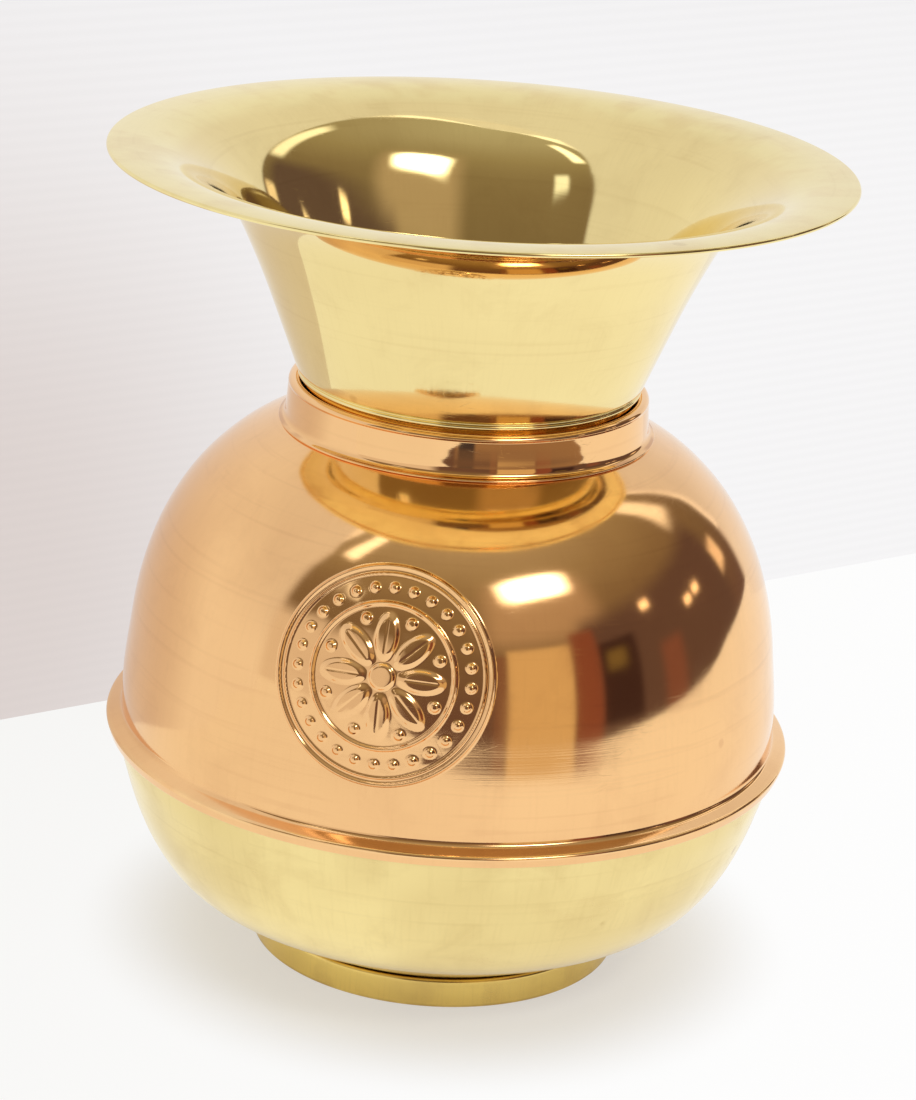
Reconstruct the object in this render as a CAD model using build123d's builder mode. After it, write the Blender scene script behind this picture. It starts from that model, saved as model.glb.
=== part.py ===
from build123d import *
import os
from math import cos, radians, sin, tan

# Spittoon: a spun brass bowl on a ring foot, a copper pot crimped over it, a copper collar
# round the neck and a trumpet-shaped brass mouth that lifts out.
# Millimetres, +Z up, origin at the centre of the foot's underside, medallion facing -Y.

# Sheet metal and joints; run_share is how much of each straight run an arc at its end may take
brass_sheet = 0.8
copper_sheet = 0.8
solder_gap = 0.1
crimp_gap = 0.1
run_share = 0.48

# Foot ring: an upright band whose top turns in under the bowl
foot_radius = 58.2
foot_height = 9.2
foot_shoulder_radius = 1.6
foot_seat_width = 9.7
foot_solder_width = 1.6

# Bowl: flat seat inside the foot's edge, rounded wall, out-turned lip under the copper flange
foot_overhang = 2.0
bowl_heel_bend_radius = 20.0
bowl_height = 63.3
bowl_inset = 3.3
bowl_lip_bend_radius = 0.5
bowl_corner_shares = ((0.600, 0.242), (0.773, 0.426), (0.879, 0.613), (0.977, 0.871))

# Copper pot: wall, domed shoulder and upright neck
pot_radius = 102.5
pot_height = 99.2
pot_corner_shares = ((1.0, 0.134), (0.889, 0.459), (0.711, 0.668), (0.415, 0.853))
shoulder_angle = 27.0
shoulder_width = 15.3
neck_radius = 54.4
neck_bend_radius = 1.5

# Copper flange and the skirt crimped down over the bowl's lip
flange_width = 5.0
flange_angle = 34.0
flange_bend_radius = 2.0
flange_edge_radius = 1.0
skirt_height = 2.8
skirt_angle = 19.6

# Copper collar: flared foot, upright band, lip rolled inward
collar_height = 11.9
collar_lip_radius = 1.9
collar_lip_turn_down = 0.6
collar_flare_radius = 1.8
collar_flare_width = 2.6
collar_solder_height = 0.7

# Lift-out mouth: tapered spigot, bead, step, trumpet and hemmed rim
rim_radius = 112.6
mouth_height = 70.4
spigot_angle = 12.0
spigot_depth = 16.0
seat_clearance = 0.3
bead_radius = 0.75
bead_lift = 1.7
step_gap = 0.35
step_width = 1.05
step_rise = 0.8
throat_bend_radius = 0.4
trumpet_corner_shares = ((0.213, 0.489), (0.407, 0.839), (0.731, 0.995))
hem_width = 4.0
hem_thickness = 1.4

# Medallion pressed out of the pot's front: ridges, beads and a rosette
medallion_radius = 32.0
medallion_line_share = 0.4115
relief_height = 0.9
relief_line_shares = (0.05, 0.2, 0.35, 0.5, 0.65, 0.8)
ridge_width = 1.2
inner_ridge_gap = 1.1
inner_ridge_width = 0.6
bead_count = 28
relief_bead_radius = 1.35
bead_circle_radius = 25.6
rosette_ridge_radius = 21.6
petal_count = 8
petal_length = 13.0
petal_width = 6.6
petal_circle_radius = 11.6
seed_radius = 1.5
seed_circle_radius = 17.4
boss_radius = 3.8


def cosd(angle):
    return cos(radians(angle))


def sind(angle):
    return sin(radians(angle))


def tand(angle):
    return tan(radians(angle))


# Heights and radii that the pieces share
seam_height = foot_height + bowl_height
flange_radius = pot_radius + flange_width
shoulder_height = seam_height + pot_height
collar_radius = neck_radius + solder_gap + copper_sheet
collar_top = shoulder_height + collar_height
lip_centre = Vector(collar_radius - collar_lip_radius, collar_top - collar_lip_radius)
neck_top = lip_centre.Y - collar_lip_turn_down - solder_gap
total_height = collar_top + mouth_height


def between(start, end, shares):
    """Points given as shares of the way from start to end, across and up."""
    return [
        Vector(start.X + across * (end.X - start.X), start.Y + up * (end.Y - start.Y))
        for across, up in shares
    ]


def rounded_line(points, tight=None):
    """A line through the points, each corner an arc as large as its runs allow, or tight where given."""
    tight = tight or {}
    radii = []
    for index in range(1, len(points) - 1):
        before, after = points[index] - points[index - 1], points[index + 1] - points[index]
        reach = run_share * min(before.length, after.length)
        largest = reach / tand(before.get_angle(after) / 2)
        radii.append(min(largest, tight.get(index, largest)))
    return FilletPolyline(*points, radius=radii)


def spigot_radius(height):
    """Outside radius of the tapered spigot, which clears the collar's rolled lip by the seat clearance."""
    reach = collar_lip_radius + seat_clearance
    seat = lip_centre + Vector(-reach * cosd(spigot_angle), reach * sind(spigot_angle))
    return seat.X + (height - seat.Y) * tand(spigot_angle)


def make_foot_ring():
    seat_radius = foot_radius - foot_seat_width
    with BuildPart() as foot_ring:
        with BuildSketch(Plane.XZ):
            with BuildLine():
                FilletPolyline(
                    (foot_radius, 0),
                    (foot_radius, foot_height),
                    (seat_radius, foot_height),
                    radius=foot_shoulder_radius,
                )
                offset(amount=brass_sheet, side=Side.LEFT)
            make_face()
        revolve(axis=Axis.Z)
    return foot_ring


def make_foot_solder():
    """Solder run into the corner between the foot's turned-in seat and the bowl."""
    corner = foot_radius - foot_seat_width - solder_gap
    with BuildPart() as foot_solder:
        with BuildSketch(Plane.XZ):
            with BuildLine():
                Polyline(
                    (corner, foot_height),
                    (corner - foot_solder_width, foot_height),
                    (corner, foot_height - brass_sheet),
                    close=True,
                )
            make_face()
        revolve(axis=Axis.Z)
    return foot_solder


def make_lower_bowl():
    wall_top = flange_radius - bowl_inset
    lip_drop = (copper_sheet + crimp_gap + brass_sheet) / cosd(flange_angle)
    lip_reach = copper_sheet / cosd(skirt_angle) + brass_sheet * sind(flange_angle) + 4 * crimp_gap

    def under_flange(radius):
        return Vector(radius, seam_height + (flange_radius - radius) * tand(flange_angle) - lip_drop)

    heel = Vector(foot_radius - foot_overhang, foot_height)
    bend = under_flange(wall_top)
    corners = [heel, *between(heel, bend, bowl_corner_shares), bend]
    points = [Vector(0, foot_height), *corners, under_flange(flange_radius - lip_reach)]
    with BuildPart() as lower_bowl:
        with BuildSketch(Plane.XZ):
            with BuildLine():
                rounded_line(points, tight={1: bowl_heel_bend_radius, len(corners): bowl_lip_bend_radius})
                offset(amount=brass_sheet, side=Side.LEFT)
            make_face()
        revolve(axis=Axis.Z)
    return lower_bowl


def pot_side():
    """Corners of the pot's outside, from the flange's root up the wall and over the dome to the neck."""
    root = Vector(pot_radius, seam_height + flange_width * tand(flange_angle))
    neck_foot = Vector(neck_radius, shoulder_height)
    shoulder = neck_foot + Vector(shoulder_width, -shoulder_width * tand(shoulder_angle))
    start, end = Vector(shoulder.X, root.Y), Vector(root.X, shoulder.Y)
    return [root, *between(start, end, pot_corner_shares), shoulder, neck_foot]


def make_relief():
    """The medallion's raised figures, as one layer rooted in the middle of the pot's sheet."""
    with BuildLine() as side:
        rounded_line(pot_side())
    centre, climb = side.line @ medallion_line_share, side.line % medallion_line_share
    face = Plane(origin=(0, -centre.X, centre.Y), x_dir=(1, 0, 0), z_dir=(0, -climb.Y, -climb.X))
    steps = [(side.line @ share, side.line % share) for share in relief_line_shares]
    inner_ridge = medallion_radius - ridge_width - inner_ridge_gap

    def along_sheet(height):
        return [place + height * Vector(way.Y, -way.X) for place, way in steps]

    with BuildPart() as relief:
        with BuildSketch(face):
            Circle(medallion_radius)
            Circle(medallion_radius - ridge_width, mode=Mode.SUBTRACT)
            Circle(inner_ridge)
            Circle(inner_ridge - inner_ridge_width, mode=Mode.SUBTRACT)
            Circle(rosette_ridge_radius)
            Circle(rosette_ridge_radius - ridge_width, mode=Mode.SUBTRACT)
            with PolarLocations(bead_circle_radius, bead_count):
                Circle(relief_bead_radius)
            with PolarLocations(petal_circle_radius, petal_count):
                Ellipse(petal_length / 2, petal_width / 2)
            with PolarLocations(seed_circle_radius, petal_count, start_angle=180 / petal_count):
                Circle(seed_radius)
            Circle(boss_radius)
        extrude(amount=medallion_radius / 2, both=True)
        with BuildSketch(Plane.XZ) as layer:
            with BuildLine():
                top = Spline(*along_sheet(relief_height))
                base = Spline(*along_sheet(-copper_sheet / 2))
                Line(top @ 0, base @ 0)
                Line(top @ 1, base @ 1)
            make_face()
        revolve(layer.sketch, axis=Axis.Z, mode=Mode.INTERSECT)
    return relief


def make_copper_pot():
    skirt_foot = Vector(flange_radius - skirt_height * tand(skirt_angle), seam_height - skirt_height)
    neck_end = Vector(neck_radius, neck_top)
    points = [skirt_foot, Vector(flange_radius, seam_height), *pot_side(), neck_end]
    bends = {1: flange_edge_radius, 2: flange_bend_radius, len(points) - 2: neck_bend_radius}
    relief = make_relief()
    with BuildPart() as copper_pot:
        with BuildSketch(Plane.XZ):
            with BuildLine():
                rounded_line(points, tight=bends)
                offset(amount=copper_sheet, side=Side.LEFT)
            make_face()
        revolve(axis=Axis.Z)
        add(relief.part)
    return copper_pot


def make_neck_collar():
    lift = (solder_gap + copper_sheet) / cosd(shoulder_angle)

    def over_shoulder(radius):
        return (radius, shoulder_height + lift - (radius - neck_radius) * tand(shoulder_angle))

    inner_radius = collar_radius - 2 * collar_lip_radius
    with BuildPart() as neck_collar:
        with BuildSketch(Plane.XZ):
            with BuildLine():
                FilletPolyline(
                    over_shoulder(collar_radius + collar_flare_width),
                    over_shoulder(collar_radius),
                    (collar_radius, lip_centre.Y),
                    radius=collar_flare_radius,
                )
                ThreePointArc(
                    (collar_radius, lip_centre.Y),
                    (lip_centre.X, collar_top),
                    (inner_radius, lip_centre.Y),
                )
                Line((inner_radius, lip_centre.Y), (inner_radius, lip_centre.Y - collar_lip_turn_down))
                offset(amount=copper_sheet, side=Side.LEFT)
            make_face()
        revolve(axis=Axis.Z)
    return neck_collar


def make_collar_solder():
    """Solder run along the neck's top edge, hidden under the collar's rolled lip."""
    with BuildPart() as collar_solder:
        with BuildSketch(Plane.XZ):
            with BuildLine():
                Polyline(
                    (neck_radius, neck_top),
                    (neck_radius, neck_top + collar_solder_height),
                    (neck_radius - copper_sheet, neck_top),
                    close=True,
                )
            make_face()
        revolve(axis=Axis.Z)
    return collar_solder


def make_mouth_funnel():
    bead_height = collar_top + bead_lift
    step_height = bead_height + bead_radius + step_gap
    spigot_end = collar_top - spigot_depth
    groove = Vector(spigot_radius(step_height), step_height)
    throat = groove + Vector(step_width, step_rise)
    edge = Vector(rim_radius, total_height - brass_sheet)
    points = [Vector(spigot_radius(spigot_end), spigot_end), groove, throat]
    points += [*between(throat, edge, trumpet_corner_shares), edge]
    with BuildPart() as mouth_funnel:
        with BuildSketch(Plane.XZ):
            with BuildLine():
                rounded_line(points, tight={1: throat_bend_radius, 2: throat_bend_radius})
                offset(amount=brass_sheet, side=Side.LEFT)
            make_face()
            with Locations((spigot_radius(bead_height), bead_height)):
                Circle(bead_radius)
            with Locations((rim_radius - hem_width / 2, total_height - hem_thickness / 2)):
                SlotOverall(hem_width, hem_thickness)
        revolve(axis=Axis.Z)
    return mouth_funnel


os.makedirs("parts", exist_ok=True)

foot_ring = make_foot_ring()
foot_ring.part.label = "foot_ring"
export_step(foot_ring.part, "parts/foot_ring.step")

foot_solder = make_foot_solder()
foot_solder.part.label = "foot_solder"
export_step(foot_solder.part, "parts/foot_solder.step")

lower_bowl = make_lower_bowl()
lower_bowl.part.label = "lower_bowl"
export_step(lower_bowl.part, "parts/lower_bowl.step")

copper_pot = make_copper_pot()
copper_pot.part.label = "copper_pot"
export_step(copper_pot.part, "parts/copper_pot.step")

neck_collar = make_neck_collar()
neck_collar.part.label = "neck_collar"
export_step(neck_collar.part, "parts/neck_collar.step")

collar_solder = make_collar_solder()
collar_solder.part.label = "collar_solder"
export_step(collar_solder.part, "parts/collar_solder.step")

mouth_funnel = make_mouth_funnel()
mouth_funnel.part.label = "mouth_funnel"
export_step(mouth_funnel.part, "parts/mouth_funnel.step")
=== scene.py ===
"""Looks of a brass and copper spittoon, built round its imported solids.

Profiles are (radius, height) pairs in millimetres, as on a spinner's drawing.
"""

import bisect
import math

import bmesh
import bpy
from bpy.props import FloatProperty, FloatVectorProperty, IntProperty, PointerProperty
from mathutils import Matrix, Vector, noise


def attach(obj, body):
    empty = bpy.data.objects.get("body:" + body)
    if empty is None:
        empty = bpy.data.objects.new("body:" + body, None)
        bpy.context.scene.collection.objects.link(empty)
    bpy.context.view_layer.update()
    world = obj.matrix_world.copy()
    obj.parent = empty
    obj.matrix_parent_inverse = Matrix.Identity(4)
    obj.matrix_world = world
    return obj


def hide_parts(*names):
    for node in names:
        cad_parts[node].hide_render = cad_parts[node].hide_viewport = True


bl_info = {
    "name": "Brass Spittoon",
    "version": (1, 0, 0),
    "blender": (4, 5, 0),
    "location": "3D View > Sidebar > Spittoon",
    "description": "Builds the spun, pressed and soldered pieces of a brass and copper spittoon",
    "category": "Object",
}

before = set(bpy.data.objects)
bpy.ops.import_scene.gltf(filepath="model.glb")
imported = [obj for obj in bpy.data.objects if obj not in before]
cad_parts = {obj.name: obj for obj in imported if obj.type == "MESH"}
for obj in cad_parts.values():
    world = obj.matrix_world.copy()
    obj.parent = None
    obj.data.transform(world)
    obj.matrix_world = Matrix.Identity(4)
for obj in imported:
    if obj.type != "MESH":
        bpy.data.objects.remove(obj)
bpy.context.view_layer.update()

MM = 0.001
# The side of the medallion, where the columns of each turned piece start
FRONT = math.radians(-90)
# In millimetres: what counts as the same point, as a point on the axis, and as a short run
SAME_POINT, ON_AXIS, SHORT_RUN = 1e-4, 1e-6, 0.2

# Funnel: tapered spigot up to the step at the throat, then the trumpet out to the rim
SPIGOT = ((48.154, 167.6), (52.15, 186.4), (53.2, 187.2), (53.64, 188.32))
TRUMPET = (
    (53.64, 188.32), (56.14, 194.71), (58.65, 201.1), (61.16, 207.49), (63.73, 213.86),
    (66.46, 220.16), (69.34, 226.39), (72.37, 232.55), (75.93, 238.4), (80.62, 243.4),
    (86.25, 247.32), (92.35, 250.45), (98.91, 252.46), (105.0, 253.15), (108.6, 253.2),
)
BEAD_CENTRE, BEAD_RADIUS = (51.916, 185.3), 0.75
RIM_RADIUS, RIM_TOP = 112.6, 254.0

# Copper pot: skirt and flange, wall and domed shoulder, neck
FLANGE = ((106.5, 69.7), (107.5, 73.0), (102.5, 75.1), (102.5, 79.0))
POT_WALL = (
    (102.5, 79.0), (102.41, 86.0), (101.69, 94.0), (100.68, 102.0), (99.62, 110.0),
    (98.03, 118.0), (95.77, 126.0), (92.75, 134.0), (89.23, 141.0), (85.15, 147.5),
    (80.8, 153.0), (75.91, 158.0), (71.27, 162.0), (66.19, 165.5), (61.27, 168.2),
    (57.64, 170.05),
)
NECK = ((57.64, 170.05), (54.4, 171.7), (54.4, 181.0))

# Brass bowl: seat, rounded wall, and the lip that is turned out under the flange
BOWL_SEAT = ((0.0, 9.2), (12.0, 9.2), (24.0, 9.2), (36.0, 9.2))
BOWL_WALL = (
    (46.5, 9.2), (53.0, 9.28), (59.26, 10.9), (65.02, 13.91), (70.76, 16.97), (76.49, 20.02),
    (82.11, 23.29), (86.94, 27.61), (90.83, 32.82), (94.1, 38.43), (96.76, 44.36),
    (98.99, 50.46), (100.86, 56.69), (102.6, 62.95), (103.75, 69.34),
)
BOWL_LIP = ((103.75, 69.34), (104.2, 72.67), (105.8, 71.6))

# Collar: flared foot on the shoulder, upright band, lip rolled inward
COLLAR_BAND = (
    (57.9, 170.93), (57.0, 171.33), (56.25, 171.88), (55.86, 172.75), (55.72, 174.0),
    (55.59, 176.0), (55.47, 178.0), (55.36, 180.0), (55.271, 182.03),
)
COLLAR_LIP_CENTRE, COLLAR_LIP_RADIUS = (53.4, 181.7), 1.9
COLLAR_LIP_END = (51.5, 181.1)

# Ring foot: upright band, and the edge turned in under the bowl
FOOT = ((58.2, 0.0), (58.2, 9.2), (48.5, 9.2))

# Where the medallion is pressed: middle of its face, and how far that face leans back
MEDALLION_RADIUS, MEDALLION_HEIGHT, MEDALLION_LEAN = 96.847, 122.5, math.radians(16.08)
MEDALLION_CENTRE = Vector((0, -MEDALLION_RADIUS, MEDALLION_HEIGHT)) * MM
# Past the medallion's edge: how far the mesh is finer, and from where it has the true normals
FINE_MARGIN, TRUE_MARGIN = 5.0, 1.8
# How often each edge there is cut, on the sheet's outer face and on its inner one
OUTER_CUTS, INNER_CUTS = 5, 2

# The medallion's figures, in millimetres for a medallion of the drawn radius
DRAWN_RADIUS, FIGURES_END = 32.0, 33.5
# Plain ridges: radius, half width, slope, share of the relief
RIDGES = ((31.4, 0.6, 0.9, 1.0), (29.4, 0.3, 0.7, 0.75), (21.0, 0.6, 0.9, 1.0))
BEAD_RING, BEAD_SIZE = 25.6, 1.35
SEED_RING, SEED_SIZE = 17.4, 1.5
BOSS_SIZE = 3.8
PETAL_RING, PETAL_HALF_LENGTH, PETAL_HALF_WIDTH = 11.6, 6.5, 3.3
VEIN_HALF_LENGTH, VEIN_HALF_WIDTH, VEIN_DEPTH = 5.2, 0.25, 0.3
# The slightly uneven field between the figures: share of the relief, patch size, radius
FIELD_DEPTH, FIELD_PATCH, FIELD_RADIUS = 0.10, 6.5, 29.0

# Scratches: how they lie over the unrolled sheet in radians, and how they are drawn out
SCRATCH_LIES, SCRATCH_DRAW = (0.10, -0.42, 1.15), (0.045, 1.0, 1.0)
UNROLLED_RADIUS = 90.0

# The metals: colour, tarnish, marks. Depths are in millimetres; smudge and stains (specks, streaks,
# clouds) are shares of tarnish; flare is how far a mark's way up the sheet follows the radius.
# Bands, partly wear and partly painted highlight and painted shade at edges and creases: height,
# half width, whether bright. Brushed: height, half width, extra depth.
METALS = (
    ("polished_brass", "brass", "brass_tarnish", dict(
        roughness=0.05, spacing=0.45, ring_depth=0.0012, smudge=0.12, scratch=0.0015,
        # The bright band at the rim's top edge is partly wear, partly painted highlight.
        flare=1.0, stains=(0.30, 0.03, 0.09), wear_and_light_bands=((253.0, 3.5, True),),
    )),
    ("satin_brass", "bowl_brass", "brass_tarnish", dict(
        roughness=0.17, spacing=0.40, ring_depth=0.005, smudge=0.16, scratch=0.003,
        # Dark bands just under the flange and low on the bowl near the foot: painted shade.
        flare=1.0, stains=(0.50, 0.05, 0.28), wear_and_light_bands=((70.5, 2.5, False), (12.0, 5.0, False)),
    )),
    # The ring foot's brass is made darker as painted shade, for the shadowed table it mirrors.
    ("shaded_foot_brass", "shaded_foot_brass", "brass_tarnish", dict(
        roughness=0.18, spacing=0.40, ring_depth=0.005, smudge=0.30, scratch=0.005,
        # Bright band at the foot's top edge: painted highlight, partly wear. Dark band at its
        # bottom edge: painted contact shadow.
        flare=1.0, stains=(0.45, 0.10, 0.30), wear_and_light_bands=((8.9, 0.8, True), (0.3, 0.8, False)),
    )),
    ("polished_copper", "copper", "copper_tarnish", dict(
        roughness=0.085, spacing=0.40, ring_depth=0.002, smudge=0.10, scratch=0.0012,
        # Bright band at the flange's outer edge: painted highlight.
        flare=-1.0, stains=(0.25, 0.03, 0.09), wear_and_light_bands=((72.8, 1.0, True),),
        brushed=((97.0, 20.0, 0.003),),
    )),
    ("bright_copper", "copper", "copper_tarnish", dict(
        roughness=0.035, spacing=0.40, ring_depth=0.0008, smudge=0.05, scratch=0.001,
        # Dark band at the collar's foot: painted shade in the crease with the shoulder.
        flare=0.0, stains=(0.15, 0.0, 0.03), wear_and_light_bands=((171.2, 0.5, False),),
    )),
)

# Camera, solved from the ellipses of the rim, the collar, the seam and the foot
CAMERA_DISTANCE, CAMERA_HEIGHT = 0.9988, 0.4829
CAMERA_AZIMUTH, CAMERA_PITCH, CAMERA_ROLL = (math.radians(a) for a in (11.5, 19.52, 3.875))
CAMERA_LENS = 111.43

# The dim room that the metal mirrors: elevation in degrees, colour
ROOM_SHADES = (
    (-90, (0.10, 0.07, 0.06)), (0, (0.16, 0.10, 0.085)), (20, (0.21, 0.155, 0.10)),
    (35, (0.25, 0.19, 0.12)), (50, (0.34, 0.28, 0.18)), (70, (0.45, 0.40, 0.30)),
    (90, (0.50, 0.46, 0.36)),
)
BACKDROP = (0.90, 0.90, 0.905)
# What stands out in that room, as soft panels: azimuth from the camera and its half width,
# elevation and its half height, softness (all in degrees), colour, brightness
PANELS = (
    ("white_wall", 213, 74, 0, 90, 5, (0.87, 0.83, 0.81), 1.0),
    ("wall_edge_left", -76, 3, 50, 40, 2, (1.0, 0.98, 0.95), 1.25),
    ("wall_edge_right", 142, 3, 50, 40, 2, (1.0, 0.98, 0.95), 1.5),
    ("low_wall", -46, 28, -36, 58, 9, (0.88, 0.83, 0.80), 0.90),
    ("window_glow", 37, 24, 37, 13, 14, (0.48, 0.37, 0.27), 1.0),
    ("room_dark", 88, 38, 5, 24, 9, (0.13, 0.085, 0.08), 1.0),
    ("dark_cabinet", 63, 8, 6, 13, 3, (0.055, 0.03, 0.03), 1.0),
    ("shelf_goods", 62, 4, 12, 3, 4, (0.20, 0.15, 0.06), 1.0),
    ("red_shelf", 86, 5, 0, 10, 5, (0.22, 0.10, 0.08), 1.0),
    ("pale_door", 32.5, 12, 5.5, 16.5, 2, (0.70, 0.54, 0.31), 1.0),
    ("door_frame", 18, 2, 4, 16, 2, (0.24, 0.13, 0.09), 1.0),
    ("brown_post", 50, 5, 6, 20, 3, (0.25, 0.09, 0.06), 1.0),
    ("counter", 36, 42, -33, 22, 3, (0.33, 0.22, 0.14), 1.0),
    ("dark_leg", 1, 5, -33, 22, 3, (0.06, 0.05, 0.06), 1.0),
    ("shop_lamp_a", 81, 2.2, 25, 1.4, 2, (1.0, 0.8, 0.6), 2.2),
    ("shop_lamp_b", 101, 2, 16, 1.2, 2, (1.0, 0.8, 0.6), 2.0),
    ("shop_lamp_c", 107, 2, 16, 1.2, 2, (1.0, 0.8, 0.6), 2.0),
    ("shop_lamp_d", 128, 3, 12, 4, 3, (1.0, 0.8, 0.6), 1.1),
    ("side_streak", 126, 5, 44, 12, 5, (1.0, 0.97, 0.9), 1.35),
    ("high_streak", -60, 4, 60, 9, 4, (1.0, 0.98, 0.92), 1.9),
    ("small_light", -45, 4, 38, 3, 3, (1.0, 1.0, 0.95), 1.2),
    ("top_light", -78, 6, 75, 4, 4, (1.0, 1.0, 0.95), 1.5),
)
# Soft lamps: azimuth and its half width, elevation and its half height, brightness, colour
LAMPS = (
    ("window_light", 37.5, 21.0, 47.0, 7.2, 10.0, (1.0, 1.0, 0.98)),
    ("left_light", -80.0, 14.0, 42.0, 12.0, 1.5, (1.0, 0.99, 0.95)),
)
LAMP_DISTANCE, LAMP_TARGET = 3.0, Vector((0, 0, 0.14))

# The panel behind the spittoon, and the table's edge on the room's side: the direction that each
# faces, by azimuth from the camera in degrees, and its distance from the axis in metres. The edge
# fades over some millimetres on either side of its line.
WALL_AZIMUTH, WALL_DISTANCE, WALL_HALF_LENGTH, WALL_HEIGHT = -144.8, 0.212, 1.3, 1.5
EDGE_AZIMUTH, EDGE_DISTANCE, EDGE_FADE = 36.0, 0.66, 5.0
FLOOR_RADIUS = 3.0
# Share of plain shade over the lit floor, low near the foot, so the floor's real shadow shows and
# the dimmer
# glow adds painted shadow: two radii in millimetres and two shares, as the camera sees it and as
# the metal mirrors it
FLOOR_SHADOW, MIRRORED_SHADOW = (70.0, 118.0, 0.52, 0.97), (58.0, 92.0, 0.45, 0.97)
# Painted shade: the floor darker towards one side across the table, and the panel darker higher up
# its height, in millimetres
FLOOR_FADE_AZIMUTH, FLOOR_FADE = 80.0, (-250.0, 150.0)
FLOOR_DIM, FLOOR_BRIGHT = (0.94, 0.935, 0.92), (1.0, 1.0, 1.0)
WALL_FADE, WALL_END_FADE, WALL_TOP_FADE = (150.0, 480.0), (900.0, 1290.0), (1200.0, 1490.0)
WALL_LIT_LOW, WALL_SHADED_HIGH = (0.95, 0.945, 0.955), (0.83, 0.815, 0.83)
# Painted shade in the panel's rib grooves, and the ribs' spacing in millimetres
GROOVE_SHADE, RIB_SPACING = (0.3, 0.3, 0.3), 4.2
# Painted shadow of the spittoon on the panel, warm from the copper: its shade, its place along and
# up in metres, its fade in millimetres
CAST_SHADOW_SHADE, CAST_SHADOW_PLACE, CAST_SHADOW_FADE = (0.74, 0.67, 0.65), (0.11, 0.05), (60.0, 260.0)


def metres(name, description, default, low, high):
    """A setting of a length in metres."""
    return FloatProperty(
        name=name, description=description, default=default, min=low, max=high,
        precision=4, unit="LENGTH",
    )


def number(name, description, default, low, high):
    """A setting of a whole number."""
    return IntProperty(name=name, description=description, default=default, min=low, max=high)


def swatch(name, description, default):
    """A setting of a colour."""
    return FloatVectorProperty(
        name=name, description=description, default=default, min=0, max=1,
        subtype="COLOR", size=3,
    )


class SpittoonSizes(bpy.types.PropertyGroup):
    """Sizes of the sheet metal and of the pressed medallion"""

    sheet: metres("Sheet", "Thickness of the brass and copper sheet", 0.0008, 0.0003, 0.0015)
    hem_width: metres("Hem Width", "Width of the folded edge under the rim", 0.004, 0.002, 0.008)
    hem_thickness: metres("Hem Thickness", "Thickness of the folded edge", 0.0014, 0.001, 0.0025)
    relief: metres(
        "Relief", "How far the medallion's figures stand out of the pot", 0.0009, 0.0002, 0.0009,
    )
    medallion: metres("Medallion", "Outer radius of the medallion", 0.032, 0.02, 0.032)
    beads: number("Beads", "Beads round the rosette", 28, 12, 40)
    petals: number("Petals", "Petals of the rosette", 8, 4, 12)
    columns: number("Columns", "Faces round each turned piece", 288, 64, 512)


class SpittoonColours(bpy.types.PropertyGroup):
    """Colours of the metals and of the stage"""

    brass: swatch("Brass", "Polished brass of the mouth", (0.94, 0.77, 0.36))
    bowl_brass: swatch("Bowl Brass", "Satin brass of the bowl", (0.94, 0.765, 0.345))
    # The ring foot's brass is made darker as painted shade, for the shadowed table it mirrors.
    shaded_foot_brass: swatch("Foot Brass", "Darker brass of the ring foot", (0.81, 0.59, 0.17))
    copper: swatch("Copper", "Polished copper of the pot and collar", (0.96, 0.59, 0.275))
    brass_tarnish: swatch("Brass Tarnish", "Dull brown film on the brass", (0.50, 0.33, 0.11))
    copper_tarnish: swatch("Copper Tarnish", "Dull brown film on the copper", (0.52, 0.24, 0.11))
    solder: swatch("Solder", "Dull grey soft solder", (0.50, 0.49, 0.46))
    floor: swatch("Floor", "Pale floor under the spittoon", (0.94, 0.94, 0.935))
    wall: swatch("Wall", "Pale panel behind the spittoon", (0.90, 0.89, 0.89))


def joined(*lines):
    """One line of several, without the points that two of them share."""
    points = []
    for line in lines:
        for point in line:
            point = Vector(point)
            if not points or (point - points[-1]).length > SAME_POINT:
                points.append(point)
    return points


def smooth_line(points, step):
    """A natural cubic spline through the points, cut into pieces about a step long."""
    points = [Vector(p) for p in points]
    spans = [(b - a).length for a, b in zip(points, points[1:])]
    count = len(points)
    bends = [Vector((0.0, 0.0)) for _ in points]
    share, carried = [0.0] * count, [Vector((0.0, 0.0)) for _ in points]
    for i in range(1, count - 1):
        before, after = spans[i - 1], spans[i]
        pull = 6 * ((points[i + 1] - points[i]) / after - (points[i] - points[i - 1]) / before)
        scale = 2 * (before + after) - before * share[i - 1]
        share[i] = after / scale
        carried[i] = (pull - before * carried[i - 1]) / scale
    for i in range(count - 2, 0, -1):
        bends[i] = carried[i] - share[i] * bends[i + 1]
    line = []
    for i, span in enumerate(spans):
        cuts = max(1, round(span / step))
        for k in range(cuts):
            b = k / cuts
            a = 1 - b
            line.append(
                a * points[i] + b * points[i + 1]
                + span * span / 6 * ((a**3 - a) * bends[i] + (b**3 - b) * bends[i + 1])
            )
    return line + [points[-1]]


def rounded_line(points, radii, step):
    """Straight runs with an arc at each corner that has a radius, in pieces about a step long."""
    points = [Vector(p) for p in points]
    corners = [points[0]]
    for i in range(1, len(points) - 1):
        before = (points[i] - points[i - 1]).normalized()
        after = (points[i + 1] - points[i]).normalized()
        turn = math.atan2(before.x * after.y - before.y * after.x, before.dot(after))
        radius = radii.get(i, 0)
        reach = radius * math.tan(abs(turn) / 2)
        start = points[i] - before * reach
        side = Vector((-before.y, before.x)) * math.copysign(radius, turn)
        centre = start + side
        cuts = max(4, round(abs(turn) * radius / step)) if radius else 0
        for k in range(cuts + 1):
            corners.append(centre + Matrix.Rotation(turn * k / max(cuts, 1), 2) @ -side)
    corners.append(points[-1])
    line = [corners[0]]
    for corner in corners[1:]:
        run = corner - line[-1]
        cuts = max(1, round(run.length / step))
        line += [line[-1] + run * k / cuts for k in range(1, cuts)] + [corner]
    return line


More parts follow.
